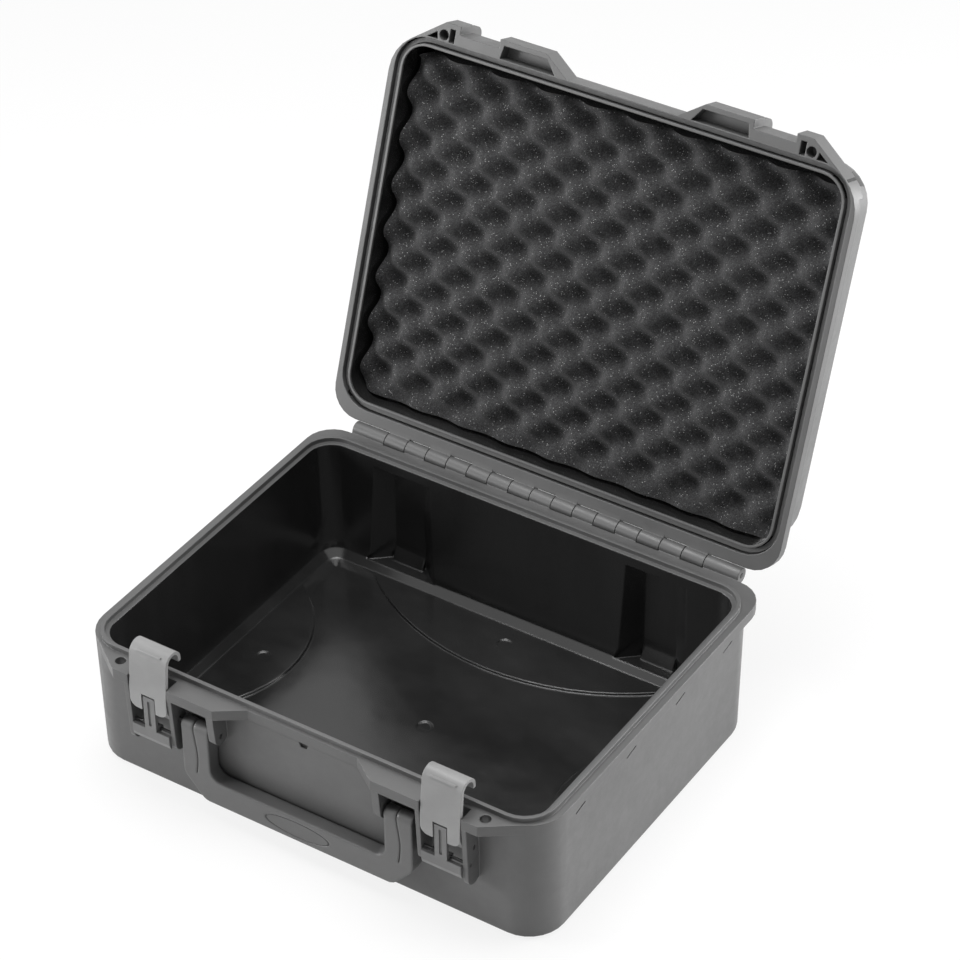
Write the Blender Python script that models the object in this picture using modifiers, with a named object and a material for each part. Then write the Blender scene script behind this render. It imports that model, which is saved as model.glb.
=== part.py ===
# Waterproof carrying case with two latches, a folding handle and a foam-lined lid.
# Metres, +Z up. The origin is the middle of the flat underside; +Y points to the hinge.
# The lid stands open, as it does when the case is being packed.

import math

import bmesh
import bpy
from mathutils import Matrix, Vector

CASE_NAME = "waterproof_case"

# Cavity and walls of the base
CAVITY_WIDTH = 0.385
CAVITY_DEPTH = 0.295
BASE_HEIGHT = 0.112
FLOOR_THICKNESS = 0.004
SIDE_WALL = 0.0125
FRONT_WALL = 0.0075
BACK_WALL = 0.0045
OUTER_DRAFT = 0.0012
CAVITY_DRAFT = 0.004
OUTER_CORNER = 0.030
CAVITY_CORNER = 0.020
BOTTOM_EDGE = 0.004
CAVITY_EDGE = 0.016

# Raised floor segments and round ejector marks
STEP_HEIGHT = 0.002
BACK_STEP_REACH = 0.062
BACK_STEP_INSET = 0.0435
SIDE_STEP_REACH = 0.062
SIDE_STEP_INSET = 0.0525
MARK_RADIUS = 0.006
MARK_DEPTH = 0.0008
MARK_SIDE_INSET = 0.040
MARK_BACK_INSET = 0.033

# Two tapered pockets in the back wall, seen outside as pillars
PILLAR_INSET = 0.075
PILLAR_MOUTH = 0.067
PILLAR_SLANT = 0.019
PILLAR_DEPTH = 0.010
PILLAR_SKIN = 0.0035
PILLAR_FLOOR = 0.010
PILLAR_LEDGE_HEIGHT = 0.014
PILLAR_LEDGE_REACH = 0.006

# Flange round the mouth, shared by the base and the lid
FLANGE_THICKNESS = 0.009
FLANGE_BACK_REACH = 0.0134
FLANGE_FRONT_REACH = 0.0015
FLANGE_CORNER = 0.035
FLANGE_BACK_CORNER = 0.024
LUG_REACH = 0.0165
LUG_SLANT = 0.0319
LUG_WIDTH = 0.0137
LATCH_INSET = 0.06335
LATCH_BAY_WIDTH = 0.0357
BAY_SETBACK = 0.0135
BROW_SLANT = 0.0213
RECESS_EDGE_TO_LATCH = 0.08075
PADLOCK_RADIUS = 0.0042
PADLOCK_INSET = 0.0104
PADLOCK_SIDE = 0.0140

# Tongue on the base, and the groove, lip and gasket of the lid
TONGUE_HEIGHT = 0.004
TONGUE_THICKNESS = 0.0032
TONGUE_SETBACK = 0.0033
PARTING_GAP = 0.0003
GROOVE_INNER_CLEARANCE = 0.0005
GROOVE_OUTER_CLEARANCE = 0.0014
GASKET_HEIGHT = 0.0026
GASKET_SIDE_CLEARANCE = 0.0006
LIP_SETBACK = 0.0007

# Lid
LID_HEIGHT = 0.044
LID_SKIN = 0.0035
LID_EDGE = 0.012
LID_CORNER = 0.032
LID_SIDE_INSET = 0.0028
LID_CAVITY_EDGE = 0.0015
LID_CAVITY_DRAFT = 0.0016
LID_OUTER_DRAFT = 0.003
LID_OPEN_ANGLE = math.radians(109.3)
LID_CHEEK_HEIGHT = 0.024
LID_LUG_RISE = 0.007
LID_LUG_ROOT = 0.020
LUG_POCKET_WALL = 0.0042
LUG_POCKET_RIM = 0.0008
LUG_POCKET_DEPTH = 0.011
BROW_POCKET_SLANT = 0.0080

# Foam in the lid, with rows of pyramids
FOAM_SIDE_GAP = 0.0025
FOAM_END_GAP = 0.0075
FOAM_PEAK_HEIGHT = 0.0325
FOAM_WAVE_HEIGHT = 0.015
FOAM_PITCH_ACROSS = 0.041
FOAM_PITCH_ALONG = 0.0385
FOAM_SHIFT_ACROSS = -0.0089
FOAM_SHIFT_ALONG = -0.01125
FOAM_GAP = 0.0003
FOAM_STEPS_A_PITCH = 6
FOAM_END_STEP_SHARE = 0.3
FOAM_CORNER = 0.012

# Hinge
HINGE_BEHIND_WALL = 0.0205
KNUCKLE_RADIUS = 0.0065
HINGE_END_INSET = 0.01405
INNER_KNUCKLES = 15
END_KNUCKLE = 0.031
KNUCKLE_GAP = 0.0006
HINGE_WEB_ROOT = 0.003
HINGE_PIN_RADIUS = 0.002
PIN_CLEARANCE = 0.0003

# Cheeks and posts that carry the latches and the handle
OUTER_CHEEK_THICKNESS = 0.004
INNER_CHEEK_THICKNESS = 0.0036
OUTER_CHEEK_DROP = 0.070
INNER_CHEEK_DROP = 0.064
CHEEK_TAPER = 0.0035
CHEEK_CORNER = 0.008
CHEEK_ROOT = 0.004
CHEEK_BOTTOM_RISE = 0.005
POST_TO_LATCH = 0.056
POST_THICKNESS = 0.0063
POST_DROP = 0.042
RECESS_NOTCH_WIDTH = 0.010
RECESS_NOTCH_HEIGHT = 0.006
RECESS_NOTCH_DEPTH = 0.0025

# Slanted dimples below the rim on each side
DIMPLE_LENGTH = 0.013
DIMPLE_WIDTH = 0.0016
DIMPLE_DEPTH = 0.003
DIMPLE_DROP = 0.011
DIMPLE_SPACING = 0.070
DIMPLE_TILT = math.radians(12.0)
DIMPLES_A_SIDE = 4

# Latch hook
HOOK_SIDE_CLEARANCE = 0.00095
HOOK_THICKNESS = 0.0028
HOOK_CURL_RADIUS = 0.009
HOOK_CURL_HEIGHT = 0.0185
HOOK_LEAN = 0.003
HOOK_LEAN_START = 0.012
HOOK_TIP = 0.003
HOOK_PLATE_DROP = 0.028
HOOK_CORNER = 0.007
HOOK_RIB_HEIGHT = 0.0007
HOOK_RIB_WIDTH = 0.0016
HOOK_RIB_LENGTH = 0.022
HOOK_RIB_ANGLE = math.radians(40.0)
LEG_THICKNESS = 0.0025
LATCH_PIN_RADIUS = 0.00175
LATCH_PIN_DROP = 0.032
LATCH_PIN_OFF_WALL = 0.0055
LATCH_EYE_RADIUS = 0.0045
LATCH_LEG_HEIGHT = 0.012
LATCH_BOSS_LENGTH = 0.0085
LOCK_SLOT_SIDE_CLEARANCE = 0.0010
LOCK_SLOT_TOP_CLEARANCE = 0.0020

# Latch rail on the lid
RAIL_THICKNESS = 0.007
RAIL_HEIGHT = 0.0107
RAIL_SETBACK = 0.007
TIP_CLEARANCE = 0.0008
TIP_POCKET_HEIGHT = 0.020

# Lock lever in the latch
LOCK_BAR_HEIGHT = 0.012
LOCK_BAR_DROP = 0.058
LOCK_BAR_THICKNESS = 0.0028
LOCK_BAR_SETBACK = 0.0005
LOCK_BAR_EDGE = 0.0012
LOCK_TAB_WIDTH = 0.0104
LOCK_TAB_DROP = 0.015
LOCK_GROOVE_WIDTH = 0.0026
LOCK_GROOVE_LENGTH = 0.024
LOCK_GROOVE_DEPTH = 0.001
LOCK_PIN_RADIUS = 0.0012
LOCK_PIN_DROP = 0.046
LOCK_PIN_BACK = 0.0063
LOCK_HUB_RADIUS = 0.003
PIN_SEAT_GAP = 0.0005
SPRING_WIRE = 0.0007
SPRING_MEAN_RADIUS = 0.0021
SPRING_TURNS = 4
SPRING_TURN_GAP = 0.00055
SPRING_END_GAP = 0.0006

# Handle
HANDLE_PIN_ABOVE_LATCH_PIN = 0.001
HANDLE_PIN_OFF_WALL = 0.0073
HANDLE_PIN_RADIUS = 0.00175
HANDLE_THICKNESS = 0.0116
ARM_BESIDE_POST = 0.00515
ARM_WIDTH = 0.0240
HANDLE_BOTTOM = 0.016
GRIP_HEIGHT = 0.022
ARM_CORNER_RISE = 0.020
ARM_CORNER_RUN = 0.018
GRIP_CORNER = 0.010
HANDLE_EDGE = 0.003
SLIT_WIDTH = 0.001
SLIT_SWING = 0.0016
SLIT_ABOVE_GRIP = 0.002
BADGE_LENGTH = 0.057
BADGE_HEIGHT = 0.014
BADGE_DEPTH = 0.0016
BADGE_GAP = 0.00035

GROOVE_ROUND_SHARE = 0.9

OVERRUN = 0.002
SMALLEST_EDGE = 0.00002

# Heights, edges and axes that several pieces share
HALF_CAVITY_X = CAVITY_WIDTH / 2
HALF_CAVITY_Y = CAVITY_DEPTH / 2
SIDE_X = HALF_CAVITY_X + SIDE_WALL
FRONT_Y = -HALF_CAVITY_Y - FRONT_WALL
BACK_Y = HALF_CAVITY_Y + BACK_WALL
LUG_Y = FRONT_Y - LUG_REACH
RECESS_Y = FRONT_Y - FLANGE_FRONT_REACH
FLANGE_BACK_Y = BACK_Y + FLANGE_BACK_REACH
FLANGE_UNDERSIDE = BASE_HEIGHT - FLANGE_THICKNESS
LID_UNDERSIDE = BASE_HEIGHT + PARTING_GAP
LID_FLANGE_TOP = LID_UNDERSIDE + FLANGE_THICKNESS
LID_TOP = LID_UNDERSIDE + LID_HEIGHT
LATCH_CENTRE_X = HALF_CAVITY_X - LATCH_INSET
RECESS_HALF_WIDTH = LATCH_CENTRE_X - RECESS_EDGE_TO_LATCH
POST_CENTRE_X = LATCH_CENTRE_X - POST_TO_LATCH
ARM_INNER_X = POST_CENTRE_X + ARM_BESIDE_POST
PILLAR_CENTRE_X = HALF_CAVITY_X - PILLAR_INSET
BACK_STEP_HALF_CHORD = HALF_CAVITY_X - BACK_STEP_INSET
SIDE_STEP_HALF_CHORD = HALF_CAVITY_Y - SIDE_STEP_INSET
BAY_INNER_X = LATCH_CENTRE_X - LATCH_BAY_WIDTH / 2
BAY_OUTER_X = LATCH_CENTRE_X + LATCH_BAY_WIDTH / 2
LUG_OUTER_X = BAY_OUTER_X + LUG_WIDTH
PADLOCK_X = BAY_OUTER_X + PADLOCK_SIDE
PADLOCK_Y = LUG_Y + PADLOCK_INSET
TONGUE_INNER = TONGUE_SETBACK
TONGUE_OUTER = TONGUE_SETBACK + TONGUE_THICKNESS
HINGE_Y = BACK_Y + HINGE_BEHIND_WALL
HINGE_Z = BASE_HEIGHT + PARTING_GAP / 2
HINGE_AXIS = Vector((0, HINGE_Y, HINGE_Z))
HINGE_HALF_LENGTH = HALF_CAVITY_X - HINGE_END_INSET
KNUCKLE_PITCH = 2 * (HINGE_HALF_LENGTH - END_KNUCKLE) / INNER_KNUCKLES
LATCH_AXIS_Y = FRONT_Y - LATCH_PIN_OFF_WALL
LATCH_PIN_HEIGHT = BASE_HEIGHT - LATCH_PIN_DROP
LOCK_PIN_HEIGHT = BASE_HEIGHT - LOCK_PIN_DROP
LOCK_BAR_BOTTOM = BASE_HEIGHT - LOCK_BAR_DROP
LOCK_TAB_TOP = BASE_HEIGHT - LOCK_TAB_DROP
HANDLE_PIN_HEIGHT = LATCH_PIN_HEIGHT + HANDLE_PIN_ABOVE_LATCH_PIN
FOAM_WIDTH = CAVITY_WIDTH - 2 * FOAM_SIDE_GAP
FOAM_DEPTH = CAVITY_DEPTH - 2 * FOAM_END_GAP
HANDLE_AXIS_Y = FRONT_Y - HANDLE_PIN_OFF_WALL
LOCK_AXIS_Y = LUG_Y + LOCK_PIN_BACK
INNER_CHEEK_MIDDLE = BAY_INNER_X - INNER_CHEEK_THICKNESS / 2
HOOK_BOTTOM = BASE_HEIGHT - HOOK_PLATE_DROP
HOOK_HALF_WIDTH = LATCH_BAY_WIDTH / 2 - HOOK_SIDE_CLEARANCE
SIDES = (("left", -1), ("right", 1))

# Plain colours of the kinds of material
MATERIALS = {
    "case_plastic": ((0.085, 0.086, 0.09), 0.55, 0.0),
    "latch_plastic": ((0.17, 0.172, 0.178), 0.45, 0.0),
    "foam": ((0.045, 0.046, 0.05), 0.95, 0.0),
    "gasket_rubber": ((0.10, 0.10, 0.105), 0.7, 0.0),
    "steel": ((0.55, 0.55, 0.56), 0.3, 1.0),
}


# Scene and collections
def clear_scene():
    for item in list(bpy.data.objects):
        bpy.data.objects.remove(item, do_unlink=True)


def make_collection(name):
    collection = bpy.data.collections.new(name)
    bpy.context.scene.collection.children.link(collection)
    return collection


def make_material(name):
    colour, roughness, metallic = MATERIALS[name]
    material = bpy.data.materials.new(name)
    material.use_nodes = True
    shader = material.node_tree.nodes["Principled BSDF"]
    shader.inputs["Base Color"].default_value = (*colour, 1.0)
    shader.inputs["Roughness"].default_value = roughness
    shader.inputs["Metallic"].default_value = metallic
    material.diffuse_color = (*colour, 1.0)
    return material


clear_scene()
parts = make_collection(CASE_NAME)
cutters = make_collection(CASE_NAME + "_cutters")
materials = {name: make_material(name) for name in MATERIALS}


# Outlines
def arc(centre, radius, start, end, steps):
    points = []
    for i in range(steps + 1):
        angle = start + (end - start) * i / steps
        x = centre[0] + radius * math.cos(angle)
        y = centre[1] + radius * math.sin(angle)
        points.append((x, y))
    return points


def rounded(corners, steps_a_quarter=6):
    """Points of a polygon whose corners (x, y, radius) are rounded."""
    points = []
    count = len(corners)
    for i, (x, y, radius) in enumerate(corners):
        here = Vector((x, y))
        if radius <= 0:
            points.append((x, y))
            continue
        before = (Vector(corners[i - 1][:2]) - here).normalized()
        after = (Vector(corners[(i + 1) % count][:2]) - here).normalized()
        half = before.angle(after) / 2
        centre = here + (before + after).normalized() * radius / math.sin(half)
        first = here + before * radius / math.tan(half) - centre
        turn = math.pi - 2 * half
        if before.cross(after) > 0:
            turn = -turn
        steps = max(2, round(abs(turn) / (math.pi / 2) * steps_a_quarter))
        start = math.atan2(first.y, first.x)
        points += arc(centre, radius, start, start + turn, steps)
    return points


def rectangle(half_x, front, back, front_radius, back_radius):
    return rounded([
        (half_x, front, front_radius),
        (half_x, back, back_radius),
        (-half_x, back, back_radius),
        (-half_x, front, front_radius),
    ])


def mirrored(half):
    """A closed outline from the corners of its +X half, front to back."""
    return half + [(-x, y, radius) for x, y, radius in reversed(half)]


# Solids
def new_object(name, mesh, collection=None):
    item = bpy.data.objects.new(name, mesh)
    (collection or cutters).objects.link(item)
    if collection is None:
        item.hide_render = True
        item.display_type = "WIRE"
    return item


def outline_mesh(name, outline, low, high):
    """A flat outline in X and Y, filled and extruded from low to high."""
    curve = bpy.data.curves.new(name, "CURVE")
    curve.dimensions = "2D"
    curve.fill_mode = "BOTH"
    curve.extrude = (high - low) / 2
    spline = curve.splines.new("POLY")
    spline.points.add(len(outline) - 1)
    for point, (x, y) in zip(spline.points, outline):
        point.co = (x, y, 0, 1)
    spline.use_cyclic_u = True
    item = bpy.data.objects.new(name, curve)
    bpy.context.scene.collection.objects.link(item)
    bpy.context.view_layer.update()
    graph = bpy.context.evaluated_depsgraph_get()
    mesh = bpy.data.meshes.new_from_object(item.evaluated_get(graph))
    bpy.data.objects.remove(item, do_unlink=True)
    bpy.data.curves.remove(curve)
    work = bmesh.new()
    work.from_mesh(mesh)
    bmesh.ops.remove_doubles(work, verts=work.verts, dist=SMALLEST_EDGE)
    bmesh.ops.translate(work, verts=work.verts, vec=(0, 0, (high + low) / 2))
    bmesh.ops.recalc_face_normals(work, faces=work.faces)
    work.to_mesh(mesh)
    work.free()
    return mesh


def slab(name, outline, low, high, collection=None):
    return new_object(name, outline_mesh(name, outline, low, high), collection)


def side_plate(name, outline, low_x, high_x, collection=None):
    """A plate whose outline is given in Y and Z, spanning low_x to high_x."""
    mesh = outline_mesh(name, outline, low_x, high_x)
    mesh.transform(Matrix(((0, 0, 1, 0), (1, 0, 0, 0), (0, 1, 0, 0), (0, 0, 0, 1))))
    return new_object(name, mesh, collection)


def front_plate(name, outline, low_y, high_y, collection=None):
    """A plate whose outline is given in X and Z, spanning low_y to high_y."""
    mesh = outline_mesh(name, outline, -high_y, -low_y)
    mesh.transform(Matrix(((1, 0, 0, 0), (0, 0, -1, 0), (0, 1, 0, 0), (0, 0, 0, 1))))
    return new_object(name, mesh, collection)


def box(name, low, high, collection=None):
    work = bmesh.new()
    bmesh.ops.create_cube(work, size=1)
    for vertex in work.verts:
        for axis in range(3):
            vertex.co[axis] = high[axis] if vertex.co[axis] > 0 else low[axis]
    mesh = bpy.data.meshes.new(name)
    work.to_mesh(mesh)
    work.free()
    return new_object(name, mesh, collection)


def tub(name, half_x, front, back, bottom, top, draft, corner, edge, edge_at_top=False,
        collection=None, corner_steps=7, edge_steps=3):
    """A drafted block with round upright corners and one round end; it narrows to that end."""
    work = bmesh.new()
    bmesh.ops.create_cube(work, size=1)
    for vertex in work.verts:
        narrow = (vertex.co.z > 0) == edge_at_top
        shift = draft if narrow else 0
        vertex.co.x = math.copysign(half_x - shift, vertex.co.x)
        vertex.co.y = back - shift if vertex.co.y > 0 else front + shift
        vertex.co.z = top if vertex.co.z > 0 else bottom
    upright = [e for e in work.edges if abs(e.verts[0].co.z - e.verts[1].co.z) > abs(draft)]
    bmesh.ops.bevel(work, geom=upright, offset=corner, offset_type="OFFSET",
                    segments=corner_steps, profile=0.5, affect="EDGES")
    end = top if edge_at_top else bottom
    rim = [e for e in work.edges if all(abs(v.co.z - end) < SMALLEST_EDGE for v in e.verts)]
    bmesh.ops.bevel(work, geom=rim, offset=edge, offset_type="OFFSET",
                    segments=edge_steps, profile=0.5, affect="EDGES", clamp_overlap=True)
    bmesh.ops.recalc_face_normals(work, faces=work.faces)
    mesh = bpy.data.meshes.new(name)
    work.to_mesh(mesh)
    work.free()
    return new_object(name, mesh, collection)


def rod(name, radius, low_x, high_x, y, z, collection=None, sides=16):
    """A round bar along X."""
    work = bmesh.new()
    turn = Matrix.Translation(((low_x + high_x) / 2, y, z)) @ Matrix.Rotation(math.pi / 2, 4, "Y")
    bmesh.ops.create_cone(work, cap_ends=True, segments=sides, radius1=radius, radius2=radius,
                          depth=high_x - low_x, matrix=turn)
    mesh = bpy.data.meshes.new(name)
    work.to_mesh(mesh)
    work.free()
    return new_object(name, mesh, collection)


def upright_rod(name, radius, x, y, low, high, collection=None, sides=20):
    work = bmesh.new()
    place = Matrix.Translation((x, y, (low + high) / 2))
    bmesh.ops.create_cone(work, cap_ends=True, segments=sides, radius1=radius, radius2=radius,
                          depth=high - low, matrix=place)
    mesh = bpy.data.meshes.new(name)
    work.to_mesh(mesh)
    work.free()
    return new_object(name, mesh, collection)


def gather(name, items):
    """One mesh object from several that don't touch."""
    work = bmesh.new()
    for item in items:
        work.from_mesh(item.data)
        bpy.data.objects.remove(item, do_unlink=True)
    mesh = bpy.data.meshes.new(name)
    work.to_mesh(mesh)
    work.free()
    return new_object(name, mesh)


def boolean(target, tool, operation):
    modifier = target.modifiers.new(operation.lower(), "BOOLEAN")
    modifier.operation = operation
    modifier.solver = "EXACT"
    modifier.object = tool
    bpy.context.view_layer.update()
    graph = bpy.context.evaluated_depsgraph_get()
    mesh = bpy.data.meshes.new_from_object(target.evaluated_get(graph))
    target.modifiers.clear()
    target.data = mesh
    bpy.data.objects.remove(tool, do_unlink=True)


def cut(target, *tools):
    for tool in tools:
        boolean(target, tool, "DIFFERENCE")


def join(target, *tools):
    for tool in tools:
        boolean(target, tool, "UNION")


def finish(item, name, material, smooth_angle=math.radians(32)):
    """Name a finished piece, give it its material and tidy its faces."""
    work = bmesh.new()
    work.from_mesh(item.data)
    bmesh.ops.remove_doubles(work, verts=work.verts, dist=SMALLEST_EDGE)
    bmesh.ops.dissolve_degenerate(work, dist=SMALLEST_EDGE, edges=work.edges)
    work.to_mesh(item.data)
    work.free()
    item.name = name
    item.data.name = name
    item.hide_render = False
    item.display_type = "TEXTURED"
    for collection in list(item.users_collection):
        collection.objects.unlink(item)
    parts.objects.link(item)
    item.data.materials.clear()
    item.data.materials.append(materials[material])
    item.data.shade_smooth()
    item.data.set_sharp_from_angle(angle=smooth_angle)
    return item


def hang_on(item, parent):
    """Parent a piece that was drawn in world places to an empty, where it stays."""
    item.data.transform(Matrix.Translation(-Vector(parent["drawn_at"])))
    item.parent = parent


def pivot(name, place, angle=0):
    """An empty on a joint's axis, turned about X by angle from the pose the pieces are drawn in."""
    empty = bpy.data.objects.new(name, None)
    parts.objects.link(empty)
    empty.location = place
    empty.rotation_euler.x = angle
    empty["drawn_at"] = tuple(place)
    return empty


# Outlines that the base and the lid share
def flange_outline(bay_back):
    half = [
        (RECESS_HALF_WIDTH, RECESS_Y, 0),
        (RECESS_HALF_WIDTH + BROW_SLANT, LUG_Y, 0),
        (BAY_INNER_X, LUG_Y, 0),
        (BAY_INNER_X, bay_back, 0),
        (BAY_OUTER_X, bay_back, 0),
        (BAY_OUTER_X, LUG_Y, 0),
        (LUG_OUTER_X, LUG_Y, 0),
        (SIDE_X, LUG_Y + LUG_SLANT, FLANGE_CORNER),
        (SIDE_X, FLANGE_BACK_Y, FLANGE_BACK_CORNER),
    ]
    return rounded(mirrored(half))


def ring_outline(offset):
    """The cavity's outline at the mouth, moved outwards by offset."""
    radius = CAVITY_CORNER + offset
    half_y = HALF_CAVITY_Y + offset
    return rectangle(HALF_CAVITY_X + offset, -half_y, half_y, radius, radius)


def ring(name, inner, outer, low, high):
    solid = slab(name, ring_outline(outer), low, high)
    cut(solid, slab("hole", ring_outline(inner), low - OVERRUN, high + OVERRUN))
    return solid


def padlock_cutters(low, high):
    return gather("padlock_holes", [
        upright_rod("hole", PADLOCK_RADIUS, side * PADLOCK_X, PADLOCK_Y, low, high)
        for _, side in SIDES
    ])


# Hinge knuckles
def knuckle_spans():
    """Low and high X of each knuckle, from left to right."""
    edges = [-HINGE_HALF_LENGTH]
    edges += [(i - INNER_KNUCKLES / 2) * KNUCKLE_PITCH for i in range(INNER_KNUCKLES + 1)]
    edges.append(HINGE_HALF_LENGTH)
    half_gap = KNUCKLE_GAP / 2
    return [(a + half_gap, b - half_gap) for a, b in zip(edges, edges[1:])]


def knuckle_outline(upward):
    """A knuckle with its web, in Y and Z; the base's web lies below the axis, the lid's above."""
    web_y = FLANGE_BACK_Y - HINGE_WEB_ROOT
    axis = (HINGE_Y, HINGE_Z)
    quarter = math.pi / 2
    if upward:
        round_part = arc(axis, KNUCKLE_RADIUS, quarter, -2 * quarter, 15)
        return round_part + [(web_y, LID_UNDERSIDE), (web_y, HINGE_Z + KNUCKLE_RADIUS)]
    round_part = arc(axis, KNUCKLE_RADIUS, -quarter, 2 * quarter, 15)
    return round_part + [(web_y, BASE_HEIGHT), (web_y, HINGE_Z - KNUCKLE_RADIUS)]


def knuckles(first, upward):
    outline = knuckle_outline(upward)
    plates = [side_plate("knuckle", outline, a, b) for a, b in knuckle_spans()[first::2]]
    return gather("knuckles", plates)


def hinge_bore():
    reach = HINGE_HALF_LENGTH + OVERRUN
    radius = HINGE_PIN_RADIUS + PIN_CLEARANCE
    return rod("hinge_bore", radius, -reach, reach, HINGE_Y, HINGE_Z, sides=12)


# Cheeks and posts on the base's front wall
def cheek_outline(drop):
    bottom = BASE_HEIGHT - drop
    top = BASE_HEIGHT - FLANGE_THICKNESS / 2
    root = FRONT_Y + CHEEK_ROOT
    return rounded([
        (LUG_Y, top, 0),
        (LUG_Y + CHEEK_TAPER, bottom, CHEEK_CORNER),
        (FRONT_Y, bottom + CHEEK_BOTTOM_RISE, 0),
        (root, bottom + CHEEK_BOTTOM_RISE, 0),
        (root, top, 0),
    ])


def base_cheeks():
    plates = []
    for _, side in SIDES:
        spans = (
            (BAY_OUTER_X, BAY_OUTER_X + OUTER_CHEEK_THICKNESS, OUTER_CHEEK_DROP),
            (BAY_INNER_X - INNER_CHEEK_THICKNESS, BAY_INNER_X, INNER_CHEEK_DROP),
            (POST_CENTRE_X - POST_THICKNESS / 2, POST_CENTRE_X + POST_THICKNESS / 2, POST_DROP),
        )
        for inner, outer, drop in spans:
            low, high = sorted((side * inner, side * outer))
            plates.append(side_plate("cheek", cheek_outline(drop), low, high))
    return gather("cheeks", plates)


def latch_pin_ends():
    """The latch pin comes in from the outer cheek and ends inside the inner cheek."""
    return INNER_CHEEK_MIDDLE + PIN_SEAT_GAP, BAY_OUTER_X + OUTER_CHEEK_THICKNESS


def handle_pin_ends():
    """The handle pin comes in from the post and ends inside the inner cheek."""
    return POST_CENTRE_X - POST_THICKNESS / 2, INNER_CHEEK_MIDDLE - PIN_SEAT_GAP


def side_rod(name, side, radius, ends, y, z, longer=(0, 0), sides=12):
    """A rod along X on one side of the case, from ends given for the right side."""
    low, high = sorted((side * (ends[0] - longer[0]), side * (ends[1] + longer[1])))
    return rod(name, radius, low, high, y, z, sides=sides)


def base_pin_bores():
    seat = PIN_SEAT_GAP / 2
    bores = []
    for _, side in SIDES:
        bores.append(side_rod("bore", side, LATCH_PIN_RADIUS + PIN_CLEARANCE, latch_pin_ends(),
                              LATCH_AXIS_Y, LATCH_PIN_HEIGHT, longer=(seat, OVERRUN)))
        bores.append(side_rod("bore", side, LOCK_PIN_RADIUS + PIN_CLEARANCE, latch_pin_ends(),
                              LOCK_AXIS_Y, LOCK_PIN_HEIGHT, longer=(seat, OVERRUN)))
        bores.append(side_rod("bore", side, HANDLE_PIN_RADIUS + PIN_CLEARANCE, handle_pin_ends(),
                              HANDLE_AXIS_Y, HANDLE_PIN_HEIGHT, longer=(OVERRUN, seat)))
    return gather("pin_bores", bores)


# Pillars in the back wall
def pillar_outline(side, grow):
    """Plan of a back pocket, or of the pillar round it when grow is the skin."""
    centre = side * PILLAR_CENTRE_X
    mouth = PILLAR_MOUTH / 2 + grow
    face = PILLAR_MOUTH / 2 - PILLAR_SLANT + grow
    near = HALF_CAVITY_Y - CAVITY_DRAFT - OVERRUN if grow == 0 else HALF_CAVITY_Y + BACK_WALL / 2
    far = HALF_CAVITY_Y + PILLAR_DEPTH + grow
    return [
        (centre + mouth, near),
        (centre + face, far),
        (centre - face, far),
        (centre - mouth, near),
    ]


def pillar_ledge(side):
    """The sloping block at the foot of a back pocket."""
    far = HALF_CAVITY_Y + PILLAR_DEPTH + PILLAR_SKIN / 2
    near = far - PILLAR_LEDGE_REACH - PILLAR_SKIN / 2
    low = PILLAR_FLOOR - FLOOR_THICKNESS / 2
    high = PILLAR_FLOOR + PILLAR_LEDGE_HEIGHT
    outline = [(near, low), (far, low), (far, high), (near, PILLAR_FLOOR)]
    half = PILLAR_MOUTH / 2 - PILLAR_SLANT
    centre = side * PILLAR_CENTRE_X
    return side_plate("ledge", outline, centre - half, centre + half)


# Raised segments of the base's floor
def segment_outline(half_chord, reach, root):
    """A circle segment that starts at y = 0, with a straight root behind its chord."""
    radius = (half_chord ** 2 + reach ** 2) / (2 * reach)
    half_angle = math.asin(half_chord / radius)
    down = -math.pi / 2
    curve = arc((0, radius - reach), radius, down - half_angle, down + half_angle, 18)
    return curve + [(half_chord, root), (-half_chord, root)]


def floor_steps():
    low = FLOOR_THICKNESS / 2
    high = FLOOR_THICKNESS + STEP_HEIGHT
    root = BACK_WALL / 2
    back = segment_outline(BACK_STEP_HALF_CHORD, BACK_STEP_REACH, root)
    side = segment_outline(SIDE_STEP_HALF_CHORD, SIDE_STEP_REACH, root)
    edge_y = HALF_CAVITY_Y - CAVITY_DRAFT
    edge_x = HALF_CAVITY_X - CAVITY_DRAFT
    return gather("floor_steps", [
        slab("step", [(x, y + edge_y) for x, y in back], low, high),
        slab("step", [(-x, -y - edge_y) for x, y in back], low, high),
        slab("step", [(y + edge_x, -x) for x, y in side], low, high),
        slab("step", [(-y - edge_x, x) for x, y in side], low, high),
    ])


def ejector_marks():
    step_top = FLOOR_THICKNESS + STEP_HEIGHT
    places = [(0, 0, FLOOR_THICKNESS), (0, HALF_CAVITY_Y - MARK_BACK_INSET, step_top)]
    places += [(side * (HALF_CAVITY_X - MARK_SIDE_INSET), 0, step_top) for _, side in SIDES]
    return gather("marks", [
        upright_rod("mark", MARK_RADIUS, x, y, top - MARK_DEPTH, top + OVERRUN, sides=16)
        for x, y, top in places
    ])


def side_dimples():
    """Slanted slots just below the rim on both sides of the base."""
    cuts = []
    for _, side in SIDES:
        for i in range(DIMPLES_A_SIDE):
            y = (i - (DIMPLES_A_SIDE - 1) / 2) * DIMPLE_SPACING
            half = Vector((DIMPLE_DEPTH + OVERRUN, DIMPLE_LENGTH, DIMPLE_WIDTH)) / 2
            piece = box("dimple", -half, half)
            x = side * (SIDE_X - DIMPLE_DEPTH / 2 + OVERRUN / 2)
            place = Vector((x, y, BASE_HEIGHT - DIMPLE_DROP))
            piece.data.transform(Matrix.Translation(place) @ Matrix.Rotation(DIMPLE_TILT, 4, "X"))
            cuts.append(piece)
    return gather("dimples", cuts)


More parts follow.
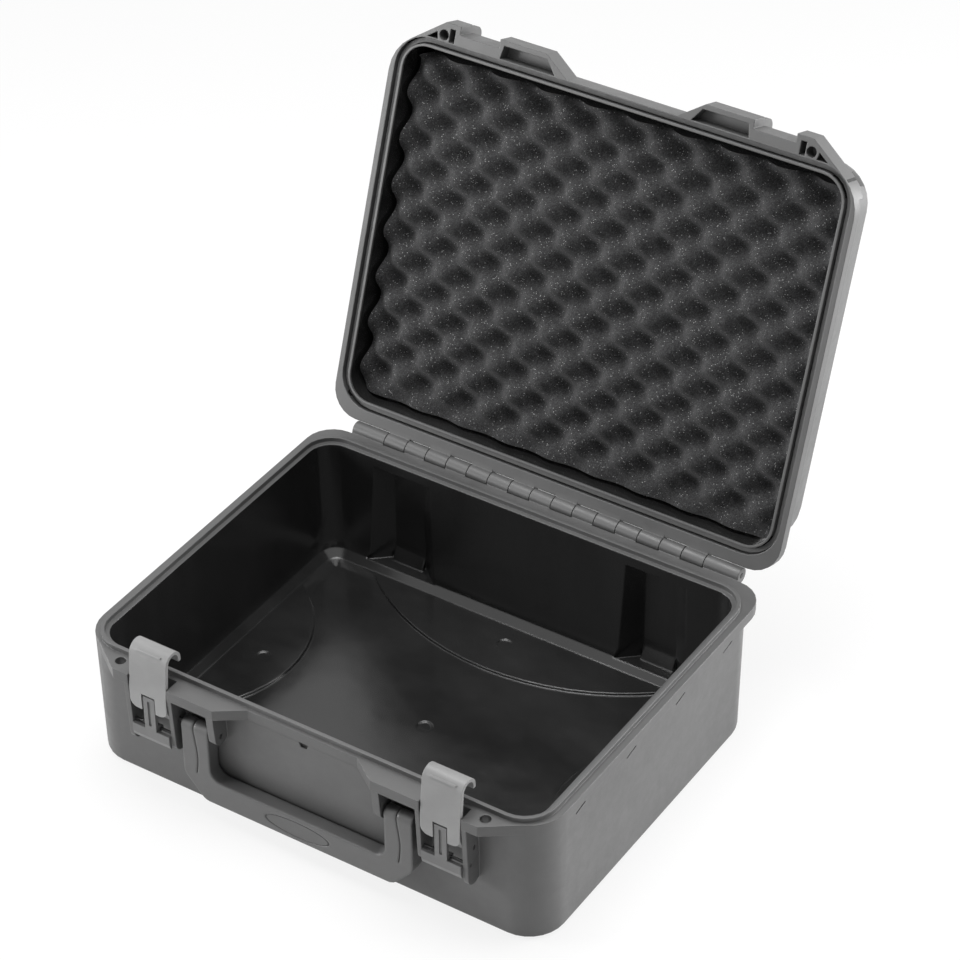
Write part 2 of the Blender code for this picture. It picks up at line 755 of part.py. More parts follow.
def recess_notch():
    """The small wedge-shaped dent in the middle of the front wall."""
    top = FLANGE_UNDERSIDE
    bottom = top - RECESS_NOTCH_HEIGHT
    half = RECESS_NOTCH_WIDTH / 2
    outline = [(-half, top), (half, top), (half / 2, bottom), (-half / 2, bottom)]
    return front_plate("notch", outline, FRONT_Y - OVERRUN, FRONT_Y + RECESS_NOTCH_DEPTH)


# Base shell
def build_base():
    base = tub("base", SIDE_X, FRONT_Y, BACK_Y, 0, BASE_HEIGHT, OUTER_DRAFT, OUTER_CORNER, BOTTOM_EDGE)
    for _, side in SIDES:
        plan = pillar_outline(side, PILLAR_SKIN)
        join(base, slab("pillar", plan, BOTTOM_EDGE, FLANGE_UNDERSIDE + OVERRUN))
    join(base, slab("flange", flange_outline(LUG_Y + BAY_SETBACK), FLANGE_UNDERSIDE, BASE_HEIGHT))
    tongue_top = BASE_HEIGHT + TONGUE_HEIGHT
    join(base, ring("tongue", TONGUE_INNER, TONGUE_OUTER, BASE_HEIGHT - OVERRUN, tongue_top))
    join(base, base_cheeks(), knuckles(0, upward=False))
    cut(base, tub("cavity", HALF_CAVITY_X, -HALF_CAVITY_Y, HALF_CAVITY_Y, FLOOR_THICKNESS,
                  tongue_top + OVERRUN, CAVITY_DRAFT, CAVITY_CORNER, CAVITY_EDGE))
    for _, side in SIDES:
        cut(base, slab("pocket", pillar_outline(side, 0), PILLAR_FLOOR, FLANGE_UNDERSIDE))
        join(base, pillar_ledge(side))
    join(base, floor_steps())
    cut(base, ejector_marks(), side_dimples(), recess_notch())
    cut(base, padlock_cutters(FLANGE_UNDERSIDE - OVERRUN, BASE_HEIGHT + OVERRUN))
    cut(base, hinge_bore(), base_pin_bores())
    return finish(base, "base_shell", "case_plastic")


# Lid
def lid_cheeks():
    """Round-topped ribs beside each latch bay, standing on the lid's flange."""
    low = LID_FLANGE_TOP - FLANGE_THICKNESS / 2
    high = LID_FLANGE_TOP + LID_CHEEK_HEIGHT
    root = FRONT_Y + CHEEK_ROOT
    outline = rounded([
        (LUG_Y, low, 0),
        (root, low, 0),
        (root, high, 0),
        (LUG_Y + CHEEK_TAPER, high, LUG_REACH / 2),
    ])
    plates = []
    for _, side in SIDES:
        for inner, outer in ((BAY_OUTER_X, BAY_OUTER_X + OUTER_CHEEK_THICKNESS),
                             (BAY_INNER_X - INNER_CHEEK_THICKNESS, BAY_INNER_X)):
            low_x, high_x = sorted((side * inner, side * outer))
            plates.append(side_plate("lid_cheek", outline, low_x, high_x))
    return gather("lid_cheeks", plates)


def latch_rails():
    """The rail in each bay that the hook's tip drops behind."""
    rails = []
    half = LATCH_BAY_WIDTH / 2 + INNER_CHEEK_THICKNESS / 2
    front = LUG_Y + RAIL_SETBACK
    low = LID_FLANGE_TOP - FLANGE_THICKNESS / 2
    high = LID_FLANGE_TOP + RAIL_HEIGHT
    outline = rounded([
        (front, low, 0),
        (front + RAIL_THICKNESS, low, 0),
        (front + RAIL_THICKNESS, high, RAIL_THICKNESS / 4),
        (front, high, RAIL_THICKNESS / 4),
    ])
    for _, side in SIDES:
        centre = side * LATCH_CENTRE_X
        rails.append(side_plate("rail", outline, centre - half, centre + half))
    return gather("rails", rails)


def tip_pockets():
    """Room for each hook's tip in the lid's front wall."""
    half = LATCH_BAY_WIDTH / 2 - HOOK_SIDE_CLEARANCE / 2
    deep = hook_tip_back_y() + TIP_CLEARANCE
    pockets = []
    for _, side in SIDES:
        centre = side * LATCH_CENTRE_X
        low = (centre - half, LUG_Y + RAIL_SETBACK + RAIL_THICKNESS, LID_FLANGE_TOP)
        high = (centre + half, deep, LID_FLANGE_TOP + TIP_POCKET_HEIGHT)
        pockets.append(box("tip_pocket", low, high))
    return gather("tip_pockets", pockets)


def slant_x(y):
    """The X of a lug's slanted edge at a given Y."""
    return LUG_OUTER_X + (SIDE_X - LUG_OUTER_X) / LUG_SLANT * (y - LUG_Y)


def lug_pockets():
    """Deep hollows in the lid's lugs, open towards the base."""
    wall = LUG_POCKET_WALL
    front = LUG_Y + wall
    back = RECESS_Y
    low = LID_UNDERSIDE - OVERRUN
    high = LID_UNDERSIDE + LUG_POCKET_DEPTH
    brow_slope = BROW_SLANT / (RECESS_Y - LUG_Y)
    brow_inner = RECESS_HALF_WIDTH + BROW_SLANT - brow_slope * wall + wall
    brow = [
        (brow_inner, front),
        (BAY_INNER_X - wall, front),
        (BAY_INNER_X - wall / 2, back),
        (brow_inner - BROW_POCKET_SLANT, back),
    ]
    edge = PADLOCK_RADIUS + LUG_POCKET_RIM
    near_bay = [
        (BAY_OUTER_X + wall, front),
        (PADLOCK_X - edge, front),
        (PADLOCK_X - edge, back),
        (BAY_OUTER_X + wall, back),
    ]
    slanted_wall = slant_x(LUG_Y + wall) - LUG_OUTER_X
    tip_y = PADLOCK_Y - wall / 3
    beyond = [
        (slant_x(tip_y) - slanted_wall, tip_y),
        (slant_x(back) - slanted_wall, back),
        (PADLOCK_X + edge, back),
    ]
    hollows = []
    for _, side in SIDES:
        for outline in (brow, near_bay, beyond):
            hollows.append(slab("lug_pocket", [(side * x, y) for x, y in outline], low, high))
    return gather("lug_pockets", hollows)


def lid_flange():
    """The lid's flange; its front corners and lugs stand higher than the rest."""
    high = LID_FLANGE_TOP + LID_LUG_RISE
    flange = slab("flange", flange_outline(LUG_Y + RAIL_SETBACK), LID_UNDERSIDE, high)
    near = (-SIDE_X - OVERRUN, FRONT_Y + LID_LUG_ROOT, LID_FLANGE_TOP)
    far = (SIDE_X + OVERRUN, FLANGE_BACK_Y + OVERRUN, high + OVERRUN)
    cut(flange, box("behind", near, far))
    return flange


def build_lid(hinge):
    lid = tub("lid", SIDE_X - LID_SIDE_INSET, FRONT_Y, BACK_Y, LID_UNDERSIDE, LID_TOP,
              LID_OUTER_DRAFT, LID_CORNER, LID_EDGE, edge_at_top=True)
    join(lid, lid_flange())
    join(lid, lid_cheeks(), latch_rails())
    cut(lid, tip_pockets())
    join(lid, knuckles(1, upward=True))
    lip = LIP_SETBACK
    cut(lid, tub("hollow", HALF_CAVITY_X + lip, -HALF_CAVITY_Y - lip, HALF_CAVITY_Y + lip,
                 LID_UNDERSIDE - OVERRUN, LID_TOP - LID_SKIN, LID_CAVITY_DRAFT, CAVITY_CORNER,
                 LID_CAVITY_EDGE, edge_at_top=True, edge_steps=2))
    groove_top = BASE_HEIGHT + TONGUE_HEIGHT + GASKET_HEIGHT + 2 * PARTING_GAP
    groove_inner = TONGUE_INNER - GROOVE_INNER_CLEARANCE
    groove_outer = TONGUE_OUTER + GROOVE_OUTER_CLEARANCE
    cut(lid, ring("groove", groove_inner, groove_outer, LID_UNDERSIDE - OVERRUN, groove_top))
    cut(lid, padlock_cutters(LID_UNDERSIDE - OVERRUN, LID_FLANGE_TOP + OVERRUN))
    cut(lid, lug_pockets(), hinge_bore())
    finish(lid, "lid_shell", "case_plastic")
    hang_on(lid, hinge)


def build_gasket(hinge):
    inner = TONGUE_INNER - GROOVE_INNER_CLEARANCE + GASKET_SIDE_CLEARANCE
    outer = TONGUE_OUTER + GROOVE_OUTER_CLEARANCE - GASKET_SIDE_CLEARANCE
    low = BASE_HEIGHT + TONGUE_HEIGHT + PARTING_GAP
    gasket = ring("gasket", inner, outer, low, low + GASKET_HEIGHT)
    finish(gasket, "lid_gasket", "gasket_rubber")
    hang_on(gasket, hinge)


def foam_marks(length, pitch, shift):
    """Places along one side of the foam: both ends, and even steps that meet the wave's peaks."""
    step = pitch / FOAM_STEPS_A_PITCH
    reach = length / 2 - step * FOAM_END_STEP_SHARE
    first = math.ceil((-reach - shift) / step)
    last = math.floor((reach - shift) / step)
    return [-length / 2] + [shift + i * step for i in range(first, last + 1)] + [length / 2]


def foam_ripple(x, y):
    """The wave at a point: 1 on a peak, -1 in a valley."""
    across = math.cos(2 * math.pi * (x - FOAM_SHIFT_ACROSS) / FOAM_PITCH_ACROSS)
    return across * math.cos(2 * math.pi * (y - FOAM_SHIFT_ALONG) / FOAM_PITCH_ALONG)


def foam_corner(x, y):
    """A place beyond one of the foam's round corners is brought back onto its arc."""
    centre = Vector((math.copysign(FOAM_WIDTH / 2 - FOAM_CORNER, x),
                     math.copysign(FOAM_DEPTH / 2 - FOAM_CORNER, y)))
    out = Vector((x, y)) - centre
    beyond = out.x * centre.x > 0 and out.y * centre.y > 0 and out.length > FOAM_CORNER
    return centre + out.normalized() * FOAM_CORNER if beyond else Vector((x, y))


def build_foam(hinge):
    """Foam sheet with a wave of peaks and valleys, crossing in two directions."""
    across = foam_marks(FOAM_WIDTH, FOAM_PITCH_ACROSS, FOAM_SHIFT_ACROSS)
    along = foam_marks(FOAM_DEPTH, FOAM_PITCH_ALONG, FOAM_SHIFT_ALONG)
    back = LID_TOP - LID_SKIN - FOAM_GAP
    middle = back - FOAM_PEAK_HEIGHT + FOAM_WAVE_HEIGHT / 2
    work = bmesh.new()
    grid = []
    for x in across:
        column = []
        for y in along:
            z = middle - FOAM_WAVE_HEIGHT / 2 * foam_ripple(x, y)
            column.append(work.verts.new((*foam_corner(x, y), z)))
        grid.append(column)
    for i in range(len(across) - 1):
        for j in range(len(along) - 1):
            work.faces.new((grid[i][j], grid[i][j + 1], grid[i + 1][j + 1], grid[i + 1][j]))
    rim = [e for e in work.edges if e.is_boundary]
    raised = bmesh.ops.extrude_edge_only(work, edges=rim)
    top = [v for v in raised["geom"] if isinstance(v, bmesh.types.BMVert)]
    for vertex in top:
        vertex.co.z = back
    bmesh.ops.contextual_create(work, geom=[e for e in work.edges if e.is_boundary])
    bmesh.ops.recalc_face_normals(work, faces=work.faces)
    mesh = bpy.data.meshes.new("foam")
    work.to_mesh(mesh)
    work.free()
    foam = finish(new_object("foam", mesh), "lid_foam", "foam")
    hang_on(foam, hinge)


# Latch hook
def hook_centre():
    return LUG_Y + HOOK_LEAN + HOOK_CURL_RADIUS, BASE_HEIGHT + HOOK_CURL_HEIGHT


def hook_tip_back_y():
    return hook_centre()[0] + HOOK_CURL_RADIUS


def hook_outline():
    """The hook plate from the side: upright below, leaning back above, curled over at the top."""
    centre = hook_centre()
    inner = HOOK_CURL_RADIUS - HOOK_THICKNESS
    lean_z = BASE_HEIGHT - HOOK_LEAN_START
    tip = centre[1] - HOOK_TIP
    points = [(LUG_Y, HOOK_BOTTOM), (LUG_Y, lean_z)]
    points += arc(centre, HOOK_CURL_RADIUS, math.pi, 0, 14)
    points += [(centre[0] + HOOK_CURL_RADIUS, tip), (centre[0] + inner, tip)]
    points += arc(centre, inner, 0, math.pi, 14)
    points += [(LUG_Y + HOOK_THICKNESS, lean_z), (LUG_Y + HOOK_THICKNESS, HOOK_BOTTOM)]
    return points


def leg_outline():
    """A leg from the plate's lower edge back to the eye round the latch pin."""
    front = LUG_Y + HOOK_THICKNESS / 2
    quarter = math.pi / 2
    eye = arc((LATCH_AXIS_Y, LATCH_PIN_HEIGHT), LATCH_EYE_RADIUS, -quarter * 3 / 2, quarter * 2 / 3, 12)
    return [(front, HOOK_BOTTOM + HOOK_CORNER / 2), *eye, (front, HOOK_BOTTOM + LATCH_LEG_HEIGHT)]


def plate_corners(centre):
    """What is cut away below the plate's two rounded lower corners."""
    half = HOOK_HALF_WIDTH
    low = HOOK_BOTTOM - OVERRUN
    high = HOOK_BOTTOM + HOOK_CORNER
    outer = half + OVERRUN
    outline = [(centre - outer, low), (centre + outer, low)]
    outline += [(centre + outer, high), (centre + half, high)]
    outline += arc((centre + half - HOOK_CORNER, high), HOOK_CORNER, 0, -math.pi / 2, 6)[1:]
    outline += arc((centre - half + HOOK_CORNER, high), HOOK_CORNER, -math.pi / 2, -math.pi, 6)
    outline.append((centre - outer, high))
    return front_plate("corners", outline, LUG_Y - OVERRUN, LUG_Y + HOOK_THICKNESS + OVERRUN)


def hook_rib(centre):
    """A low rib across the upper front of the hook."""
    middle = hook_centre()
    lean = HOOK_RIB_ANGLE
    y = middle[0] - HOOK_CURL_RADIUS * math.cos(lean)
    z = middle[1] + HOOK_CURL_RADIUS * math.sin(lean)
    half = Vector((HOOK_RIB_LENGTH, HOOK_RIB_HEIGHT * 2, HOOK_RIB_WIDTH)) / 2
    rib = box("rib", -half, half)
    rib.data.transform(Matrix.Translation((centre, y, z)) @ Matrix.Rotation(-lean, 4, "X"))
    return rib


def build_hook(side_name, side, latch):
    centre = side * LATCH_CENTRE_X
    half = HOOK_HALF_WIDTH
    hook = side_plate("hook", hook_outline(), centre - half, centre + half)
    cut(hook, plate_corners(centre))
    join(hook, side_plate("leg", leg_outline(), centre - half, centre - half + LEG_THICKNESS))
    join(hook, side_plate("leg", leg_outline(), centre + half - LATCH_BOSS_LENGTH, centre + half))
    slot = LOCK_TAB_WIDTH / 2 + LOCK_SLOT_SIDE_CLEARANCE
    slot_top = LOCK_TAB_TOP + LOCK_SLOT_TOP_CLEARANCE
    cut(hook, box("slot", (centre - slot, LUG_Y - OVERRUN, HOOK_BOTTOM - OVERRUN),
                  (centre + slot, LUG_Y + HOOK_THICKNESS + OVERRUN, slot_top)))
    join(hook, hook_rib(centre))
    reach = half + OVERRUN
    cut(hook, rod("pin_bore", LATCH_PIN_RADIUS + PIN_CLEARANCE, centre - reach, centre + reach,
                  LATCH_AXIS_Y, LATCH_PIN_HEIGHT, sides=12))
    finish(hook, "latch_hook_" + side_name, "latch_plastic")
    hang_on(hook, latch)


# Lock lever
def build_lock(side_name, side, lock):
    """A lever shaped like an upside-down T: a wide bar to press and a tab in the hook's slot."""
    centre = side * LATCH_CENTRE_X
    half = HOOK_HALF_WIDTH
    tab_half = LOCK_TAB_WIDTH / 2
    front = LUG_Y + LOCK_BAR_SETBACK
    back = front + LOCK_BAR_THICKNESS
    top = LOCK_BAR_BOTTOM + LOCK_BAR_HEIGHT
    bar = rounded([
        (front, LOCK_BAR_BOTTOM + LOCK_BAR_HEIGHT / 3, LOCK_BAR_EDGE),
        (front + LOCK_BAR_THICKNESS / 2, LOCK_BAR_BOTTOM, 0),
        (back, LOCK_BAR_BOTTOM, 0),
        (back, top, 0),
        (front, top, 0),
    ], steps_a_quarter=4)
    lever = side_plate("lock", bar, centre - half, centre + half)
    join(lever, box("tab", (centre - tab_half, front, top - LOCK_BAR_HEIGHT / 2),
                    (centre + tab_half, back, LOCK_TAB_TOP)))
    root = (front + back) / 2
    hub = arc((LOCK_AXIS_Y, LOCK_PIN_HEIGHT), LOCK_HUB_RADIUS, -math.pi / 2, math.pi / 2, 8)
    hub += [(root, LOCK_PIN_HEIGHT + LOCK_HUB_RADIUS), (root, LOCK_PIN_HEIGHT - LOCK_HUB_RADIUS)]
    join(lever, side_plate("hub", hub, centre - tab_half, centre + tab_half))
    groove_half = LOCK_GROOVE_WIDTH / 2
    groove_round = groove_half * GROOVE_ROUND_SHARE
    groove_top = LOCK_TAB_TOP - LOCK_TAB_WIDTH / 3
    groove = rounded([
        (centre - groove_half, groove_top - LOCK_GROOVE_LENGTH, groove_round),
        (centre + groove_half, groove_top - LOCK_GROOVE_LENGTH, groove_round),
        (centre + groove_half, groove_top, groove_round),
        (centre - groove_half, groove_top, groove_round),
    ], steps_a_quarter=4)
    cut(lever, front_plate("groove", groove, front - OVERRUN, front + LOCK_GROOVE_DEPTH))
    cut(lever, rod("bore", LOCK_PIN_RADIUS + PIN_CLEARANCE, centre - half, centre + half,
                   LOCK_AXIS_Y, LOCK_PIN_HEIGHT, sides=12))
    finish(lever, "latch_lock_" + side_name, "latch_plastic")
    hang_on(lever, lock)


def spring_path(start):
    """The wire's centre line: a coil round the lock pin."""
    pitch = SPRING_WIRE + SPRING_TURN_GAP
    steps_a_turn = 10
    points = []
    for i in range(SPRING_TURNS * steps_a_turn + 1):
        angle = 2 * math.pi * i / steps_a_turn
        y = LOCK_AXIS_Y + SPRING_MEAN_RADIUS * math.cos(angle)
        z = LOCK_PIN_HEIGHT + SPRING_MEAN_RADIUS * math.sin(angle)
        points.append(Vector((start - pitch * i / steps_a_turn, y, z)))
    return points


def build_lock_spring(side_name, side):
    """A coil spring round the lock pin, one unbroken wire."""
    start = side * LATCH_CENTRE_X - LOCK_TAB_WIDTH / 2 - SPRING_END_GAP - SPRING_WIRE / 2
    points = spring_path(start)
    half_turn = len(points) // SPRING_TURNS // 2
    gaps = [(a - b).length - SPRING_WIRE for i, a in enumerate(points) for b in points[i + half_turn:]]
    print("least gap between turns of", side_name, "spring, mm:", round(min(gaps) * 1000, 3))
    curve = bpy.data.curves.new("spring", "CURVE")
    curve.dimensions = "3D"
    curve.bevel_depth = SPRING_WIRE / 2
    curve.bevel_resolution = 1
    curve.use_fill_caps = True
    spline = curve.splines.new("POLY")
    spline.points.add(len(points) - 1)
    for point, place in zip(spline.points, points):
        point.co = (*place, 1)
    item = bpy.data.objects.new("spring", curve)
    cutters.objects.link(item)
    bpy.context.view_layer.update()
    graph = bpy.context.evaluated_depsgraph_get()
    mesh = bpy.data.meshes.new_from_object(item.evaluated_get(graph))
    bpy.data.objects.remove(item, do_unlink=True)
    finish(new_object("spring", mesh), "lock_spring_" + side_name, "steel")


def build_latch_pins(side_name, side):
    latch_pin = side_rod("pin", side, LATCH_PIN_RADIUS, latch_pin_ends(), LATCH_AXIS_Y, LATCH_PIN_HEIGHT)
    finish(latch_pin, "latch_pin_" + side_name, "steel")
    lock_pin = side_rod("pin", side, LOCK_PIN_RADIUS, latch_pin_ends(), LOCK_AXIS_Y, LOCK_PIN_HEIGHT)
    finish(lock_pin, "lock_pin_" + side_name, "steel")


# Handle
def handle_outline():
    outer = ARM_INNER_X + ARM_WIDTH
    grip_top = HANDLE_BOTTOM + GRIP_HEIGHT
    hub_top = HANDLE_PIN_HEIGHT
    return rounded([
        (outer, hub_top, 0),
        (ARM_INNER_X, hub_top, 0),
        (ARM_INNER_X, grip_top, GRIP_CORNER),
        (-ARM_INNER_X, grip_top, GRIP_CORNER),
        (-ARM_INNER_X, hub_top, 0),
        (-outer, hub_top, 0),
        (-outer, HANDLE_BOTTOM + ARM_CORNER_RISE, GRIP_CORNER),
        (ARM_CORNER_RUN - outer, HANDLE_BOTTOM, GRIP_CORNER),
        (outer - ARM_CORNER_RUN, HANDLE_BOTTOM, GRIP_CORNER),
        (outer, HANDLE_BOTTOM + ARM_CORNER_RISE, GRIP_CORNER),
    ])


def slit_outline(side):
    """A narrow S-shaped slit that makes each arm a springy fork."""
    top = HANDLE_PIN_HEIGHT + HANDLE_THICKNESS / 2 + OVERRUN
    bottom = HANDLE_BOTTOM + GRIP_HEIGHT + SLIT_ABOVE_GRIP
    centre = side * (ARM_INNER_X + ARM_WIDTH / 2)
    steps = 10
    path = []
    for i in range(steps + 1):
        share = i / steps
        swing = SLIT_SWING * math.cos(share * math.pi * 1.5)
        path.append((centre - swing, bottom + (top - bottom) * (1 - share)))
    half = SLIT_WIDTH / 2
    return [(x + half, z) for x, z in path] + [(x - half, z) for x, z in reversed(path)]


def soften_edges(item, width, steps):
    """Round the long edges between a plate's faces and its rim."""
    modifier = item.modifiers.new("edges", "BEVEL")
    modifier.width = width
    modifier.segments = steps
    modifier.limit_method = "ANGLE"
    modifier.angle_limit = math.radians(60)
    bpy.context.view_layer.update()
    graph = bpy.context.evaluated_depsgraph_get()
    item.data = bpy.data.meshes.new_from_object(item.evaluated_get(graph))
    item.modifiers.clear()


def ellipse(half_x, half_z, centre_z, steps=36):
    points = arc((0, 0), 1, 0, 2 * math.pi, steps)[:-1]
    return [(half_x * x, centre_z + half_z * z) for x, z in points]


def badge_centre_z():
    return HANDLE_BOTTOM + GRIP_HEIGHT / 2


def build_handle(grip):
    front = HANDLE_AXIS_Y - HANDLE_THICKNESS / 2
    back = HANDLE_AXIS_Y + HANDLE_THICKNESS / 2
    handle = front_plate("handle", handle_outline(), front, back)
    soften_edges(handle, HANDLE_EDGE, 3)
    for _, side in SIDES:
        ends = sorted((side * ARM_INNER_X, side * (ARM_INNER_X + ARM_WIDTH)))
        join(handle, rod("hub", HANDLE_THICKNESS / 2, *ends, HANDLE_AXIS_Y, HANDLE_PIN_HEIGHT, sides=24))
    for _, side in SIDES:
        cut(handle, front_plate("slit", slit_outline(side), front - OVERRUN, back + OVERRUN))
    recess = ellipse(BADGE_LENGTH / 2 + BADGE_GAP, BADGE_HEIGHT / 2 + BADGE_GAP, badge_centre_z())
    cut(handle, front_plate("recess", recess, front - OVERRUN, front + BADGE_DEPTH + BADGE_GAP))
    reach = ARM_INNER_X + ARM_WIDTH + OVERRUN
    bores = []
    for _, side in SIDES:
        ends = sorted((side * (ARM_INNER_X - OVERRUN), side * reach))
        bores.append(rod("bore", HANDLE_PIN_RADIUS + PIN_CLEARANCE, *ends,
                         HANDLE_AXIS_Y, HANDLE_PIN_HEIGHT, sides=12))
    cut(handle, gather("bores", bores))
    finish(handle, "handle", "case_plastic")
    hang_on(handle, grip)
    badge = front_plate("badge", ellipse(BADGE_LENGTH / 2, BADGE_HEIGHT / 2, badge_centre_z()),
                        front, front + BADGE_DEPTH)
    finish(badge, "handle_badge", "case_plastic")
    hang_on(badge, grip)


def build_handle_pin(side_name, side):
    pin = side_rod("pin", side, HANDLE_PIN_RADIUS, handle_pin_ends(), HANDLE_AXIS_Y, HANDLE_PIN_HEIGHT)
    finish(pin, "handle_pin_" + side_name, "steel")


def build_hinge_pin(side_name, side):
    """Two pins, driven in from either end, meet in the middle knuckle."""
    ends = (PIN_SEAT_GAP, HINGE_HALF_LENGTH)
    pin = side_rod("pin", side, HINGE_PIN_RADIUS, ends, HINGE_Y, HINGE_Z)
    finish(pin, "hinge_pin_" + side_name, "steel")


# Assembly
def build_case():
    build_base()
    hinge = pivot("lid_hinge", HINGE_AXIS, -LID_OPEN_ANGLE)
    build_lid(hinge)
    build_gasket(hinge)
    build_foam(hinge)
    grip = pivot("handle_swing", (0, HANDLE_AXIS_Y, HANDLE_PIN_HEIGHT))
    build_handle(grip)
    for side_name, side in SIDES:
        centre = side * LATCH_CENTRE_X
        latch = pivot("latch_" + side_name, (centre, LATCH_AXIS_Y, LATCH_PIN_HEIGHT))
        build_hook(side_name, side, latch)
        lock = pivot("lock_" + side_name, (centre, LOCK_AXIS_Y, LOCK_PIN_HEIGHT))
        build_lock(side_name, side, lock)
        build_lock_spring(side_name, side)
        build_latch_pins(side_name, side)
        build_handle_pin(side_name, side)
        build_hinge_pin(side_name, side)


build_case()
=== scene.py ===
# Looks of the waterproof carrying case: finishes, fine foam, light and camera.
# Metres, +Z up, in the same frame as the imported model. The lid stands open at rest.

import math
import random

import bmesh
import bpy
from mathutils import Matrix, Vector


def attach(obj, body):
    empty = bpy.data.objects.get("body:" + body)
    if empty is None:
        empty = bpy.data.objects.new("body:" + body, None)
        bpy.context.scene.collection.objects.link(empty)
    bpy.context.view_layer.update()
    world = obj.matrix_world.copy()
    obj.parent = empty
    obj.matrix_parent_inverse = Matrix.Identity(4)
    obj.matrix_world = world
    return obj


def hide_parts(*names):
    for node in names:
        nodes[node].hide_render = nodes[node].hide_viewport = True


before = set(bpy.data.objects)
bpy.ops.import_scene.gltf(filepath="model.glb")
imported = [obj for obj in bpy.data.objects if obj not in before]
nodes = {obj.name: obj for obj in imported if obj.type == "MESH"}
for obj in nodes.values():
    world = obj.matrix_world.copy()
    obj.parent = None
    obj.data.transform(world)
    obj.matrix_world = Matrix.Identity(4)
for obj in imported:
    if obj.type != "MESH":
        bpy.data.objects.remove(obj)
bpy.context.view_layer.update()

scene = bpy.context.scene

# Places that several pieces share, in metres
HINGE = Vector((0, 0.1725, 0.11215))
OPEN_ANGLE = math.radians(109.3)
LID_INSIDE_TOP = 0.1525
OPENED = Matrix.Translation(HINGE) @ Matrix.Rotation(-OPEN_ANGLE, 4, "X") @ Matrix.Translation(-HINGE)


# Node materials
class Shader:
    """A small helper that adds and links shader nodes."""

    def __init__(self, name):
        self.material = bpy.data.materials.new(name)
        self.material.use_nodes = True
        self.tree = self.material.node_tree
        self.principled = self.tree.nodes["Principled BSDF"]
        self.place = self.add("ShaderNodeTexCoord").outputs["Object"]

    def add(self, kind, **settings):
        node = self.tree.nodes.new(kind)
        for key, value in settings.items():
            setattr(node, key, value)
        return node

    def put(self, socket, value):
        if isinstance(value, bpy.types.NodeSocket):
            self.tree.links.new(value, socket)
        else:
            socket.default_value = value

    def math(self, operation, a, b=0.0):
        node = self.add("ShaderNodeMath", operation=operation)
        self.put(node.inputs[0], a)
        self.put(node.inputs[1], b)
        return node.outputs[0]

    def vector_math(self, operation, a, b=None):
        node = self.add("ShaderNodeVectorMath", operation=operation)
        self.put(node.inputs[0], a)
        if b is not None:
            self.put(node.inputs[1], b)
        return node.outputs["Value"] if operation in ("DOT_PRODUCT", "LENGTH") else node.outputs[0]

    def noise(self, scale, detail=2.0, roughness=0.5, place=None):
        node = self.add("ShaderNodeTexNoise")
        self.put(node.inputs["Vector"], place or self.place)
        node.inputs["Scale"].default_value = scale
        node.inputs["Detail"].default_value = detail
        node.inputs["Roughness"].default_value = roughness
        return node.outputs["Fac"]

    def spread(self, value, low_in, high_in, low_out, high_out):
        node = self.add("ShaderNodeMapRange", clamp=True)
        self.put(node.inputs["Value"], value)
        limits = {"From Min": low_in, "From Max": high_in, "To Min": low_out, "To Max": high_out}
        for key, number in limits.items():
            self.put(node.inputs[key], number)
        return node.outputs["Result"]

    def mix(self, share, a, b):
        node = self.add("ShaderNodeMix", data_type="RGBA")
        self.put(node.inputs[0], share)
        self.put(node.inputs[6], (*a, 1.0) if isinstance(a, tuple) else a)
        self.put(node.inputs[7], (*b, 1.0) if isinstance(b, tuple) else b)
        return node.outputs[2]

    def bump(self, height, distance, strength=1.0, under=None):
        node = self.add("ShaderNodeBump")
        self.put(node.inputs["Height"], height)
        self.put(node.inputs["Distance"], distance)
        self.put(node.inputs["Strength"], strength)
        if under is not None:
            self.put(node.inputs["Normal"], under)
        return node.outputs["Normal"]

    def soft_edges(self, radius):
        """Shading that rounds every sharp edge by a small radius."""
        node = self.add("ShaderNodeBevel", samples=6)
        self.put(node.inputs["Radius"], radius)
        return node.outputs["Normal"]

    def finish(self, colour, roughness, normal=None, **plain):
        shader = self.principled
        self.put(shader.inputs["Base Color"], (*colour, 1.0) if isinstance(colour, tuple) else colour)
        self.put(shader.inputs["Roughness"], roughness)
        if normal is not None:
            self.put(shader.inputs["Normal"], normal)
        for key, value in plain.items():
            shader.inputs[key.replace("_", " ")].default_value = value
        return self.material


# Finishes: scales are features per metre, depths and radii are metres
GLOSS = 0.7
CLOUD_SCALE = 14
SCUFF_SCALE = 90
GRAIN_SCALE = 1500
GRAIN_DEPTH = 0.00003
SHELL_EDGE = 0.0011
HANDLE_EDGE = 0.0028
LATCH_EDGE = 0.0005
INSIDE_EDGE = 0.0022
INSIDE_WAVE_DEPTH = 0.0009
FOAM_TINT = (0.034, 0.034, 0.035)
FOAM_CELL_SCALE = 1250
# Where the badge's line of painted shade begins, as a share of its half-size
BADGE_SHADE_LINE_FROM = 0.955

# The space of the base's cavity and its back pockets, and of the closed lid's hollow
CAVITY_HALF_X = 0.1990
CAVITY_FRONT = -0.1512
CAVITY_BACK = 0.1497
CAVITY_TOP = 0.1117
POCKET_BACK = 0.1612
POCKET_TOP = 0.1028
CAVITY_MIDDLE = (0.0, 0.0, 0.06)
LID_HOLLOW_HALF_X = 0.1938
LID_HOLLOW_HALF_Y = 0.1488
LID_HOLLOW_Z = (0.1140, 0.1532)


def grey(value):
    return (value, value, value)


